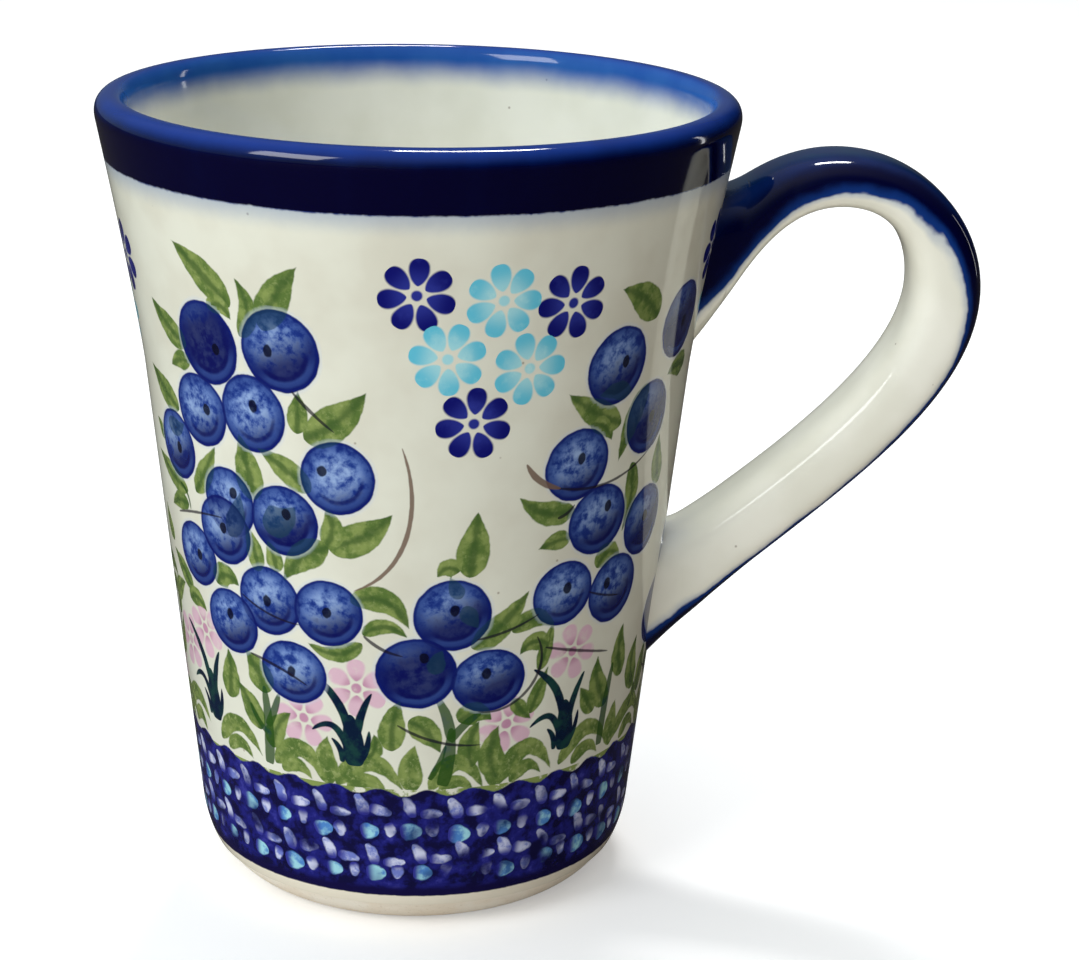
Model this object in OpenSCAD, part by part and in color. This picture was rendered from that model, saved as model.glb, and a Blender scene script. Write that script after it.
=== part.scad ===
// Hand-decorated stoneware mug: a thrown cup on a turned foot, a strap handle joined on with slip,
// and the glaze coats that cover the clay everywhere but the foot.
// +Z is up, the axis of the cup is Z, the foot stands on Z = 0 and the handle points along +X.

/* [Cup] */
// Height from the table to the top of the glazed lip
cup_h = 110; // [104:1:118]
// Widest outer diameter, just under the lip, over the glaze
rim_d = 86; // [84:0.5:90]
// Outer diameter that the straight lower wall would have at table level, bare clay
wall_base_d = 58.5; // [56:0.5:60]
// How far the straight wall leans out, in millimetres of radius for each millimetre of height
wall_taper = 0.105; // [0.08:0.005:0.12]
// Height at which the wall starts to flare towards the lip
flare_z = 74; // [66:1:80]
// Wall thickness just under the lip
lip_t = 3.6; // [3:0.1:4.5]
// Wall thickness at the bottom of the cup
base_t = 4.4; // [3.6:0.1:5.5]
// Height of the inside floor above the table
floor_z = 7; // [6:0.5:9]

/* [Foot] */
// Outer diameter of the ring that touches the table
foot_d = 48; // [46:0.5:50]
// Width of the ring that touches the table
foot_ring_w = 2.8; // [2:0.1:3.5]
// Depth of the recess under the cup
foot_recess = 2.4; // [1.5:0.1:3]
// Height at which the bare foot has run out into the wall
foot_blend_z = 9.5; // [8.5:0.5:10]

/* [Glaze] */
// Thickness of the fired glaze
glaze_t = 0.3; // [0.2:0.05:0.5]
// Height of the top edge of the stamped cobalt band above the table
band_top_z = 22.5; // [18:0.5:26]
// Height of the lower edge of the cobalt rim band above the table
rim_band_z = 102; // [100.5:0.5:103]

/* [Handle] */
// Width of the strap, across the hand
handle_w = 14; // [11:0.5:15]
// Width to which the strap spreads where it meets the cup
handle_spread_w = 16; // [14:0.5:17]
// How square the strap's section is: 2 is an ellipse
handle_squareness = 2.6; // [2:0.1:4]
// Thickness of the slip between the handle and the cup
slip_t = 1; // [0.6:0.1:1.5]

/* [Hidden] */

stoneware = [0.89, 0.84, 0.75];
cream_glaze = [0.88, 0.87, 0.80];
cobalt = [0.05, 0.12, 0.45];
navy = [0.12, 0.10, 0.42];

round_fn = 128;           // sides of a turned surface; the exact model keeps it round
curve_steps = 10;         // points along each rounded stretch of the cup's outline
wall_r0 = wall_base_d / 2;
lip_z = cup_h - 3;        // where the straight flare ends and the lip starts to round over
crown_z = cup_h - glaze_t;
flare_power = 1.3;
flare_r = rim_d / 2 - glaze_t - wall_r0 - wall_taper * lip_z;
crown_in = 2.1;           // the crown of the lip lies this far inside the wall's outer face
inner_lip_z = cup_h - 2.4;
corner_z = 17;            // where the inside wall starts to round into the floor
corner_r = 15;            // radius at which the inside floor goes flat
foot_r = foot_d / 2;
recess_r = foot_r - foot_ring_w;
recess_lip = 0.8;         // the recess starts this far inside the table ring
slip_h_upper = 22.5;      // height of the slip pad under the handle's upper end
slip_h_lower = 20;
slip_w = handle_spread_w + 1.5;
slip_z_upper = 87.5;
slip_z_lower = 39.8;
reach = 40;               // longer than any cut through one side of the cup

// Points on curves
function bez2(a, b, c, t) = (1 - t) * (1 - t) * a + 2 * t * (1 - t) * b + t * t * c;
function bez3(a, b, c, d, t) = (1 - t) * bez2(a, b, c, t) + t * bez2(b, c, d, t);
function curve2(a, b, c, t0 = 0, t1 = 1) =
    [for (i = [0:curve_steps]) bez2(a, b, c, t0 + (t1 - t0) * i / curve_steps)];
function curve3(a, b, c, d) = [for (i = [0:curve_steps]) bez3(a, b, c, d, i / curve_steps)];
function without_first(p) = [for (i = [1:len(p) - 1]) p[i]];
function reversed(p) = [for (i = [len(p) - 1:-1:0]) p[i]];

// Radius of the clay wall, outside and inside, at a height
function flare_at(z) = flare_r * pow(max(0, (z - flare_z) / (lip_z - flare_z)), flare_power);
function wall_r(z) = wall_r0 + wall_taper * z + flare_at(z);
function wall_t(z) = lip_t + (base_t - lip_t) * (1 - z / cup_h);
function inner_r(z) = wall_r(z) - wall_t(z);

// The cup's outline in stretches, each [radius, height], from under the foot to the inside floor
foot_corner = [29.2, 2];  // the bevel of the foot bulges towards this point
glaze_line = 0.6;         // how far along the bevel the glaze stops
base_path = [[0, foot_recess], [recess_r - 2.2, foot_recess],
             [recess_r - recess_lip - 0.3, foot_recess - 0.9], [recess_r - recess_lip, 0.9]];
ring_path = [[recess_r - recess_lip, 0.9], [recess_r, 0], [foot_r, 0]];
foot_top = [wall_r(foot_blend_z), foot_blend_z];
bevel_path = curve2([foot_r, 0], foot_corner, foot_top, 0, glaze_line);
band_path = concat(curve2([foot_r, 0], foot_corner, foot_top, glaze_line, 1),
                   [[wall_r(band_top_z), band_top_z]]);
wall_path = concat([[wall_r(band_top_z), band_top_z], [wall_r(flare_z), flare_z]],
                   [for (i = [1:curve_steps])
                       let (z = flare_z + (rim_band_z - flare_z) * i / curve_steps) [wall_r(z), z]]);
crown = [wall_r(lip_z) - crown_in, crown_z];
lip_out = [wall_r(lip_z), lip_z];
lip_in = [inner_r(inner_lip_z), inner_lip_z];
inner_band_z = rim_band_z + 3.5;  // the cobalt reaches less far down inside the lip
rim_path = concat([[wall_r(rim_band_z), rim_band_z]],
                  curve3(lip_out, lip_out + [0.35, 1.9], crown + [1.3, 0], crown),
                  without_first(curve3(crown, crown - [0.9, 0], lip_in + [0.1, 1.1], lip_in)),
                  [[inner_r(inner_band_z), inner_band_z]]);
liner_path = concat([for (i = [0:curve_steps])
                        let (z = inner_band_z + (flare_z - inner_band_z) * i / curve_steps)
                            [inner_r(z), z]],
                    curve2([inner_r(corner_z), corner_z], [inner_r(corner_z) - 0.9, floor_z + 0.2],
                           [corner_r, floor_z]),
                    [[0, floor_z]]);
clay_path = concat(base_path, without_first(ring_path), without_first(bevel_path),
                   without_first(band_path), without_first(wall_path), without_first(rim_path),
                   without_first(liner_path));

// Outward normals of the outline, and the outline moved out by a coat's thickness
function unit(v) = v / norm(v);
function side(a, b) = let (d = unit(b - a)) [d[1], -d[0]];
function normal_at(p, i) =
    i == 0 ? side(p[0], p[1]) :
    i == len(p) - 1 ? side(p[i - 1], p[i]) :
    unit(side(p[i - 1], p[i]) + side(p[i], p[i + 1]));
function moved(p, d) = [for (i = [0:len(p) - 1]) p[i] + d * normal_at(p, i)];
clay_glazed = moved(clay_path, glaze_t);

// Where each stretch starts and ends in the whole outline
i_ring = len(base_path) - 1;
i_bevel = i_ring + len(ring_path) - 1;
i_band = i_bevel + len(bevel_path) - 1;
i_wall = i_band + len(band_path) - 1;
i_rim = i_wall + len(wall_path) - 1;
i_liner = i_rim + len(rim_path) - 1;
i_end = i_liner + len(liner_path) - 1;
function stretch(p, a, b) = [for (i = [a:b]) p[i]];

// A coat of glaze over one stretch of the outline
module glaze_coat(a, b) {
    rotate_extrude($fn = round_fn)
        polygon(concat(stretch(clay_path, a, b), reversed(stretch(clay_glazed, a, b))));
}

// Everything inside the wall's outer face, moved out by d
module within_wall(d) {
    p = stretch(moved(clay_path, d), i_wall, i_rim);
    rotate_extrude($fn = round_fn)
        polygon(concat([[0, p[0][1]]], p, [[0, p[len(p) - 1][1]]]));
}

// An upright oval bar along +X through the handle side of the wall
module joint_bar(z, h) {
    translate([slip_w, 0, z])
        rotate([90, 0, 90])
            linear_extrude(reach)
                union() {
                    square([slip_w, h - slip_w], center = true);
                    for (s = [-1, 1])
                        translate([0, s * (h - slip_w) / 2])
                            circle(d = slip_w, $fn = round_fn);
                }
}

module slip_pad(z, h) {
    difference() {
        intersection() {
            joint_bar(z, h);
            within_wall(slip_t);
        }
        within_wall(0);
    }
}

// The handle's centre line, in X and Z: up and out of the wall, over the knuckles, back to the wall
upper_end = [36, 79];
handle_top = [57.5, 99];
handle_out = [71.9, 84];
lower_end = [29, 35.8];
handle_runs = [[upper_end, [40, 91], [48, 99.3], handle_top],
               [handle_top, [66.5, 98.7], [71.9, 92], handle_out],
               [handle_out, [71.9, 72], [59, 60.5], lower_end]];
run_steps = 12;
section_points = 24;
// Half thickness outside and inside the centre line, and the width, by place along the three runs
outer_half = [[0, 6.5], [0.5, 4.8], [0.75, 4.2], [1, 3.9], [1.5, 3.9], [2, 4.7], [2.75, 4.7],
              [2.9, 5.5], [2.95, 6.3], [3, 5.6]];
inner_half = [[0, 2.6], [0.06, 4.1], [0.15, 4.6], [0.75, 4.7], [1, 4.3], [1.5, 4], [2, 4.8],
              [2.75, 4.8], [3, 5.6]];
strap_width = [[0, handle_spread_w], [0.3, handle_w + 1.5], [0.6, handle_w], [2.7, handle_w],
               [3, handle_spread_w]];
function run_at(s) = min(2, floor(s));
function centre_at(s) = let (r = handle_runs[run_at(s)]) bez3(r[0], r[1], r[2], r[3], s - run_at(s));
function heading_at(s) =
    let (r = handle_runs[run_at(s)], t = s - run_at(s))
        unit(bez2(r[1] - r[0], r[2] - r[1], r[3] - r[2], t));
function squared(c) = sign(c) * pow(abs(c), 2 / handle_squareness);
function section_at(s) =
    let (c = centre_at(s), t = heading_at(s), n = [-t[1], t[0]])
        [for (k = [0:section_points - 1])
            let (a = 360 * k / section_points,
                 u = squared(cos(a)) * lookup(s, cos(a) > 0 ? outer_half : inner_half),
                 v = squared(sin(a)) * lookup(s, strap_width) / 2)
                [c[0] + u * n[0], v, c[1] + u * n[1]]];

module strap() {
    rings = 3 * run_steps;
    m = section_points;
    points = [for (i = [0:rings]) each section_at(i / run_steps)];
    ends = [[for (k = [0:m - 1]) k], [for (k = [m - 1:-1:0]) rings * m + k]];
    sides = [for (i = [0:rings - 1], k = [0:m - 1])
                let (a = i * m + k, b = i * m + (k + 1) % m)
                    each [[a, a + m, b], [b, a + m, b + m]]];
    polyhedron(points, concat(ends, sides), convexity = 6);
}

// Stoneware cup: wall, floor and foot turned from one piece of clay
module cup() {
    color(stoneware)
        rotate_extrude($fn = round_fn)
            polygon(clay_path);
}

// Strap handle, cut to the curve of the wall so that it seats on its slip
module handle() {
    color(cream_glaze)
        difference() {
            strap();
            within_wall(slip_t);
        }
}

module upper_slip_joint() {
    color(stoneware) slip_pad(slip_z_upper, slip_h_upper);
}

module lower_slip_joint() {
    color(stoneware) slip_pad(slip_z_lower, slip_h_lower);
}

// Cream glaze over the inside wall and floor
module liner_glaze() {
    color(cream_glaze) glaze_coat(i_liner, i_end);
}

// Cobalt over the lip, outside and in
module rim_glaze() {
    color(cobalt) glaze_coat(i_rim, i_liner);
}

// Cream glaze over the painted wall, open where the handle is joined on
module wall_glaze() {
    color(cream_glaze)
        difference() {
            glaze_coat(i_wall, i_rim);
            joint_bar(slip_z_upper, slip_h_upper);
            joint_bar(slip_z_lower, slip_h_lower);
        }
}

// Glaze over the stamped cobalt band above the foot
module band_glaze() {
    color(navy) glaze_coat(i_band, i_wall);
}

// Glaze inside the recess of the foot
module base_glaze() {
    color(cream_glaze) glaze_coat(0, i_ring);
}

cup();
handle();
upper_slip_joint();
lower_slip_joint();
liner_glaze();
rim_glaze();
wall_glaze();
band_glaze();
base_glaze();
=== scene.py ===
# %% [markdown]
# # A hand-painted stoneware mug
# The mug is thrown on a wheel, turned at the foot, given a pulled strap handle, painted and stamped
# with metal-oxide colours, and dipped in a glossy clear glaze that stops just above the foot.
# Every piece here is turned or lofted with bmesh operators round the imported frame, and every colour
# comes from shader nodes. The painting follows the surface, so each wall mesh carries, as
# attributes, the coordinates of each brush mark, and the shader draws the mark from them.

import math

import bmesh
import bpy
import numpy as np
from mathutils import Euler, Matrix, Vector


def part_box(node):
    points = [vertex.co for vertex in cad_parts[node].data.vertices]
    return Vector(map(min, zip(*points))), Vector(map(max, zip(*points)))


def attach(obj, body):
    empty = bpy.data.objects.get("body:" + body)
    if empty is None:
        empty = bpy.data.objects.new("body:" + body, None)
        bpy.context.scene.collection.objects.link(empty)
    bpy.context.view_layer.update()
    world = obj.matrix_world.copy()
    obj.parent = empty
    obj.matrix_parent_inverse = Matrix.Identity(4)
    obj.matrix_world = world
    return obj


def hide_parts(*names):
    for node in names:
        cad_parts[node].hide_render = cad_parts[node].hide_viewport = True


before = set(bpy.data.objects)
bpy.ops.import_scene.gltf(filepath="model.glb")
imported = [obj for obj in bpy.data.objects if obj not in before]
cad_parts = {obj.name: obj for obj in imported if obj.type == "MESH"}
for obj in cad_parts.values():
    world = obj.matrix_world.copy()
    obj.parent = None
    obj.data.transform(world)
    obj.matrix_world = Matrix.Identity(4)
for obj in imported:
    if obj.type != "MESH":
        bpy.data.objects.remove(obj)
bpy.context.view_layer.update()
MM = 0.001
print("the frame holds", sorted(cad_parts))

# %% [markdown]
# ## The camera and the room
# The camera stands in front of the mug and above its lip, as a person across the table would hold
# it, a little turned and a little tilted. A long lens keeps the cup's sides from spreading.

# %% Camera
CAMERA_PLACE = (0.0009, -0.3554, 0.1699)
CAMERA_LENS = 88.95
LOOKS_DOWN = math.radians(17.84)
LOOKS_RIGHT = math.radians(2.605)
LEANS = math.radians(1.206)

camera = bpy.data.objects.new("camera", bpy.data.cameras.new("camera"))
camera.data.lens = CAMERA_LENS
camera.data.clip_start = 0.01
aim = Euler((math.pi / 2 - LOOKS_DOWN, 0, -LOOKS_RIGHT)).to_matrix() @ Matrix.Rotation(LEANS, 3, "Z")
camera.matrix_world = Matrix.Translation(CAMERA_PLACE) @ aim.to_4x4()
bpy.context.scene.collection.objects.link(camera)
bpy.context.scene.camera = camera
bpy.context.scene.view_settings.view_transform = "Standard"
print("camera", round(camera.location.length, 3), "m from the mug's foot")

# %% [markdown]
# ## A short hand for nodes
# Shader graphs are long to write out, so one small helper adds a node, sets its fields, and joins
# or sets each input. Painters' colours are written as they look, from 0 to 255, and turned into the
# linear values that the shader multiplies with light.


# %% Node helper
def paint(red, green, blue):
    shown = [channel / 255 for channel in (red, green, blue)]
    return [*(c / 12.92 if c < 0.04045 else ((c + 0.055) / 1.055) ** 2.4 for c in shown), 1.0]


class Graph:
    """Adds nodes to one tree. An argument may be a socket, a number or a colour."""

    def __init__(self, tree):
        self.tree = tree

    def put(self, socket, value):
        if isinstance(value, bpy.types.NodeSocket):
            self.tree.links.new(value, socket)
        else:
            socket.default_value = value

    def add(self, kind, inputs=None, **fields):
        node = self.tree.nodes.new("ShaderNode" + kind)
        for name, value in fields.items():
            setattr(node, name, value)
        for name, value in (inputs or {}).items():
            self.put(node.inputs[name], value)
        return node

    def math(self, operation, *values):
        return self.add("Math", dict(enumerate(values)), operation=operation).outputs[0]

    def plus(self, first, second):
        return self.math("ADD", first, second)

    def minus(self, first, second):
        return self.math("SUBTRACT", first, second)

    def times(self, first, second):
        return self.math("MULTIPLY", first, second)

    def radius(self, x, y):
        return self.math("SQRT", self.plus(self.times(x, x), self.times(y, y)))

    def step(self, value, low, high):
        """0 below low, 1 above high, and a smooth rise between them."""
        inputs = {"Value": value, "From Min": low, "From Max": high}
        return self.add("MapRange", inputs, interpolation_type="SMOOTHSTEP").outputs["Result"]

    def mix(self, share, under, over):
        inputs = {0: share, 6: under, 7: over}
        return self.add("Mix", inputs, data_type="RGBA").outputs[2]

    def split(self, vector):
        return self.add("SeparateXYZ", {"Vector": vector}).outputs

    def place(self, stretch=(1, 1, 1)):
        """Object coordinates in millimetres, so a noise of scale 1 has features about 1 mm across."""
        place = self.add("TexCoord").outputs["Object"]
        scale = [s / MM for s in stretch]
        return self.add("Mapping", {"Vector": place, "Scale": scale}).outputs["Vector"]

    def noise(self, size_mm, vector=None, detail=2.0, rough=0.5):
        inputs = {"Vector": vector or self.place(), "Scale": 1 / size_mm, "Detail": detail,
                  "Roughness": rough}
        return self.add("TexNoise", inputs).outputs["Fac"]

    def waver(self, size_mm, amount, **noise):
        """A noise that swings to both sides of 0."""
        return self.times(self.minus(self.noise(size_mm, **noise), 0.5), amount)

    def mark(self, name):
        return self.add("Attribute", attribute_name=name).outputs["Vector"]

    def use(self, group, **inputs):
        node = self.add("Group", node_tree=group)
        for name, value in inputs.items():
            self.put(node.inputs[name.replace("_", " ")], value)
        return node.outputs


def node_group(name, inputs, outputs):
    """A shader group with named sockets: its tree, its Graph, what it is given and what it gives."""
    tree = bpy.data.node_groups.new(name, "ShaderNodeTree")
    for label, value in inputs.items():
        kind = "NodeSocketFloat"
        if isinstance(value, (list, tuple)):
            kind = "NodeSocketColor" if len(value) == 4 else "NodeSocketVector"
        socket = tree.interface.new_socket(name=label, in_out="INPUT", socket_type=kind)
        socket.default_value = value
    for label, kind in outputs.items():
        tree.interface.new_socket(name=label, in_out="OUTPUT", socket_type="NodeSocket" + kind)
    given = tree.nodes.new("NodeGroupInput").outputs
    result = tree.nodes.new("NodeGroupOutput").inputs
    return tree, Graph(tree), given, result


# %% [markdown]
# ## The turned outline
# A potter's profile gauge is a flat template of the wall, so the cup starts as one outline in
# radius and height. The heights and the widest radius come from the frame; the wall between them
# is a straight cone with a small flare that starts two thirds of the way up.

# %% Outline of the clay
cup_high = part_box("cup")[1]
rim_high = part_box("rim_glaze")[1]
wall_low, wall_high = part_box("wall_glaze")
CROWN_Z = cup_high.z / MM
GLAZE = (rim_high.z - cup_high.z) / MM
CUP_H = round(rim_high.z / MM, 1)
LIP_R = rim_high.y / MM - GLAZE
LIP_Z = CROWN_Z + GLAZE - 3
BAND_TOP = round(wall_low.z / MM, 1)
RIM_EDGE = round(wall_high.z / MM, 1)
FLOOR_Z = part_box("liner_glaze")[0].z / MM
RECESS_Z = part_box("base_glaze")[1].z / MM
BAND_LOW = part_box("band_glaze")[0].z / MM
WALL_FOOT_R, WALL_TAPER = 29.25, 0.105
FLARE_Z, FLARE_POWER = 74, 1.3
FLARE_R = LIP_R - WALL_FOOT_R - WALL_TAPER * LIP_Z
INNER_EDGE = RIM_EDGE + 3.5
LIP_T, THICKER_AT_FOOT = 3.6, 0.8
CROWN_IN, INNER_LIP_DROP = 2.1, 2.1
FOOT_R, RING_W, BLEND_Z = 24, 2.8, 9.5
CORNER_Z = 17


def wall_radius(z):
    rise = np.maximum(0, (np.asarray(z, float) - FLARE_Z) / (LIP_Z - FLARE_Z))
    return WALL_FOOT_R + WALL_TAPER * z + FLARE_R * rise ** FLARE_POWER


def inner_radius(z):
    return wall_radius(z) - LIP_T - THICKER_AT_FOOT * (1 - z / CUP_H)


def curve(points, steps):
    """A Bezier curve through its first and last point, for two to four points."""
    t = np.linspace(0, 1, steps)[:, None]
    rows = [np.ones_like(t) * np.array(p, float) for p in points]
    while len(rows) > 1:
        rows = [a * (1 - t) + b * t for a, b in zip(rows, rows[1:])]
    return rows[0]


def upright(radius_at, low, high, spacing):
    z = np.linspace(low, high, max(2, round(abs(high - low) / spacing) + 1))
    return np.stack([radius_at(z), z], 1)


crown = (LIP_R - CROWN_IN, CROWN_Z)
inner_lip_z = CROWN_Z - INNER_LIP_DROP
foot_top = (float(wall_radius(BLEND_Z)), BLEND_Z)
bevel = curve([(FOOT_R, 0), (29.2, 2), foot_top], 60)
glazed_bevel = bevel[bevel[:, 1] >= BAND_LOW]
inner_lip_r, corner_r = float(inner_radius(inner_lip_z)), float(inner_radius(CORNER_Z))
lip = np.concatenate([
    curve([(LIP_R, LIP_Z), (LIP_R + 0.35, LIP_Z + 1.9), (crown[0] + 1.3, crown[1]), crown], 22),
    curve([crown, (crown[0] - 0.9, crown[1]), (inner_lip_r + 0.1, inner_lip_z + 1.1),
           (inner_lip_r, inner_lip_z)], 18)[1:]])
floor_corner = curve([(corner_r, CORNER_Z), (corner_r - 0.9, FLOOR_Z + 0.2), (15, FLOOR_Z)], 24)
recess = np.array([(0, RECESS_Z), (FOOT_R - RING_W - 2.2, RECESS_Z),
                   (FOOT_R - RING_W - 1.1, RECESS_Z - 0.9), (FOOT_R - RING_W - 0.8, 0.9)])
print("lip radius", LIP_R, "wall from", BAND_TOP, "to", RIM_EDGE, "mm, glaze", round(GLAZE, 2))


# %% [markdown]
# ## Turning the pieces
# A closed outline spun round the axis is exactly what the wheel does. Each coat of glaze is a thin
# closed shell: its outer line is fine, because it carries the painting, and its inner line, which
# lies on the clay, is coarse.

# %% Spin and coat helpers
SHARP_ANGLE = math.radians(50)


def finish_mesh(bm, name, nodes):
    bmesh.ops.recalc_face_normals(bm, faces=bm.faces)
    for face in bm.faces:
        face.smooth = True
    for edge in bm.edges:
        edge.smooth = edge.calc_face_angle(0) < SHARP_ANGLE
    mesh = bpy.data.meshes.new(name)
    bm.to_mesh(mesh)
    bm.free()
    piece = bpy.data.objects.new(name, mesh)
    bpy.context.scene.collection.objects.link(piece)
    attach(piece, "root")
    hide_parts(*nodes)
    print(name, len(mesh.polygons), "faces")
    return piece


def spun(name, outline, columns, nodes, closed=True):
    """Spins one slice of the turn, then repeats the slice round the axis, which is much quicker."""
    slices = 16
    bm = bmesh.new()
    verts = [bm.verts.new((r * MM, 0, z * MM)) for r, z in outline]
    ends = zip(verts, verts[1:] + verts[:1]) if closed else zip(verts, verts[1:])
    edges = [bm.edges.new(pair) for pair in ends]
    bmesh.ops.spin(bm, geom=verts + edges, cent=(0, 0, 0), axis=(0, 0, 1),
                   angle=math.tau / slices, steps=columns // slices, use_duplicate=False)
    first_slice = bm.verts[:] + bm.edges[:] + bm.faces[:]
    for count in range(1, slices):
        made = bmesh.ops.duplicate(bm, geom=first_slice)["geom"]
        moved = [item for item in made if isinstance(item, bmesh.types.BMVert)]
        bmesh.ops.rotate(bm, verts=moved, cent=(0, 0, 0),
                         matrix=Matrix.Rotation(math.tau * count / slices, 3, "Z"))
    bmesh.ops.remove_doubles(bm, verts=bm.verts, dist=0.004 * MM)
    return finish_mesh(bm, name, nodes)


def moved_out(line, distance):
    """The outline moved square to itself, out of the clay where it runs up the outside."""
    ahead = np.gradient(line, axis=0)
    ahead /= np.hypot(ahead[:, 0], ahead[:, 1])[:, None]
    moved = line + distance * np.stack([ahead[:, 1], -ahead[:, 0]], 1)
    moved[:, 0] = np.maximum(moved[:, 0], 0)
    return moved


def coat(line, under_every):
    """Outline of a coat of glaze over a line of clay."""
    under = line[::under_every]
    if not np.array_equal(under[-1], line[-1]):
        under = np.concatenate([under, line[-1:]])
    return np.concatenate([moved_out(line, GLAZE), under[::-1]])


# %% Clay cup, with its bare foot
clay_line = np.concatenate([
    recess, [(FOOT_R - RING_W, 0.12), (FOOT_R - RING_W + 0.12, 0), (FOOT_R - 0.15, 0)],
    bevel[1:], upright(wall_radius, BLEND_Z + 0.4, FLARE_Z, 4),
    upright(wall_radius, FLARE_Z + 2, LIP_Z - 1, 3), lip,
    upright(inner_radius, inner_lip_z - 2, CORNER_Z + 2, 4), floor_corner, [(0, FLOOR_Z)]])
clay_cup = spun("clay_cup", clay_line, 256, ["cup"], closed=False)

# %% Coats of glaze
PAINT_GRAIN = 0.46
painted_wall = spun("painted_wall", coat(upright(wall_radius, BAND_TOP, RIM_EDGE, PAINT_GRAIN), 20),
                    528, ["wall_glaze"])
rim_line = np.concatenate([upright(wall_radius, RIM_EDGE, LIP_Z - 0.4, 0.4), lip,
                           upright(inner_radius, inner_lip_z - 0.4, INNER_EDGE, 0.4)])
cobalt_rim = spun("cobalt_rim", coat(rim_line, 4), 384, ["rim_glaze"])
inside_line = np.concatenate([upright(inner_radius, INNER_EDGE, CORNER_Z + 0.5, 1.2), floor_corner,
                              [(8, FLOOR_Z), (0, FLOOR_Z)]])
inside_glaze = spun("inside_glaze", coat(inside_line, 6), 256, ["liner_glaze"])
band_line = np.concatenate([glazed_bevel[:-1], upright(wall_radius, BLEND_Z, BAND_TOP, 0.3)])
stamped_band = spun("stamped_band", coat(band_line, 8), 640, ["band_glaze"])
recess_glaze = spun("recess_glaze", coat(recess, 1), 192, ["base_glaze"])

# %% [markdown]
# ## The pulled handle
# A strap is pulled from a lump of clay, bent while soft, scored, and stuck to the leather-hard cup
# with slip, which the potter's thumb smears into a fillet. Two rails, one along the back of the
# hand and one along the fingers, hold its outline; a squared oval is lofted between them, and the
# same loft, cut near each end, gives the two slip joints.

# %% Rails and sections of the strap
BACK_RUNS = [[(41.5, 96.4), (45.5, 99.9), (50.5, 102.7), (57, 102.7)],
             [(57, 102.7), (68, 102.7), (76.9, 94), (76.9, 83.5)],
             [(76.9, 83.5), (76.9, 69.4), (61.5, 57.2), (47, 44.8)],
             [(47, 44.8), (43, 41.3), (38.5, 37.3), (33.4, 31.8)]]
FINGER_RUNS = [[(37.7, 77), (42.6, 82), (46.5, 95.4), (57.2, 95.4)],
               [(57.2, 95.4), (63.5, 95.4), (67.1, 91), (67.1, 84.5)],
               [(67.1, 84.5), (67.1, 75), (55.5, 64), (43.5, 54.6)],
               [(43.5, 54.6), (40, 51.7), (37.5, 50.2), (34.6, 48)]]
RUN_STEPS = [44, 34, 50, 26]
STRAP_W, SPREAD_W = 14, 16
SQUARENESS = 3.0
AROUND = 72
SPREAD_REACH = 14
FILLET, BACK_FILLET, FILLET_REACH = 1.7, 0.7, 5.0
WALL_FIT_REACH, SEAT_SINK = 7.0, 0.25
COLLAR = 4.2


def rail(runs):
    parts = [curve(run, steps + 1)[:-1] for run, steps in zip(runs, RUN_STEPS)]
    return np.concatenate(parts + [np.array([runs[-1][-1]], float)])


back, finger = rail(BACK_RUNS), rail(FINGER_RUNS)
middle = (back + finger) / 2
walked = np.concatenate([[0], np.cumsum(np.hypot(*np.diff(middle, axis=0).T))])
from_end = np.minimum(walked, walked[-1] - walked)
near_wall = np.maximum(0, 1 - from_end / FILLET_REACH) ** 2
seat_fit = np.maximum(0, 1 - from_end / WALL_FIT_REACH) ** 2
spread = (SPREAD_W - STRAP_W) / 2 * np.maximum(0, 1 - from_end / SPREAD_REACH)
half_width = STRAP_W / 2 + spread + FILLET * near_wall
turn = np.arange(AROUND) * math.tau / AROUND
out_share = np.sign(np.cos(turn)) * np.abs(np.cos(turn)) ** (2 / SQUARENESS)
side_share = np.sign(np.sin(turn)) * np.abs(np.sin(turn)) ** (2 / SQUARENESS)
half_depth = (back - finger) / 2
half_depth += half_depth / np.hypot(*half_depth.T)[:, None] * (BACK_FILLET * near_wall)[:, None]
sections = np.zeros((len(middle), AROUND, 3))
sections[:, :, 0] = middle[:, :1] + half_depth[:, :1] * out_share
sections[:, :, 2] = middle[:, 1:] + half_depth[:, 1:] * out_share
sections[:, :, 1] = half_width[:, None] * side_share
for end in (0, -1):
    ring = sections[end]
    seat = np.sqrt((wall_radius(ring[:, 2]) + GLAZE) ** 2 - ring[:, 1] ** 2) - SEAT_SINK
    shift = seat - ring[:, 0]
    half = slice(0, len(middle) // 2) if end == 0 else slice(len(middle) // 2, None)
    sections[half, :, 0] += seat_fit[half, None] * shift
print("strap", round(walked[-1]), "mm along its middle,", len(middle), "sections")


# %% Loft the strap and its slip joints
def lofted(name, rings, nodes):
    """Rings of points bridged one to the next, with both ends closed."""
    bm = bmesh.new()
    loops = []
    for ring in rings:
        made = bmesh.ops.create_circle(bm, segments=AROUND, radius=1)["verts"]
        for vert, point in zip(made, ring):
            vert.co = Vector(point) * MM
        edges = {edge for vert in made for edge in vert.link_edges}
        loops.append(sorted(edges, key=lambda edge: edge.verts[0].index))
        if len(loops) > 1:
            bmesh.ops.bridge_loops(bm, edges=loops[-2] + loops[-1])
    for loop in (loops[0], loops[-1]):
        bmesh.ops.contextual_create(bm, geom=loop)
    return finish_mesh(bm, name, nodes)


first = int(np.argmax(walked > COLLAR))
last = int(np.argmax(walked > walked[-1] - COLLAR))
strap_handle = lofted("strap_handle", sections[first:last + 1], ["handle"])
upper_collar = lofted("upper_collar", sections[:first + 1], ["upper_slip_joint"])
lower_collar = lofted("lower_collar", sections[last:], ["lower_slip_joint"])

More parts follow.
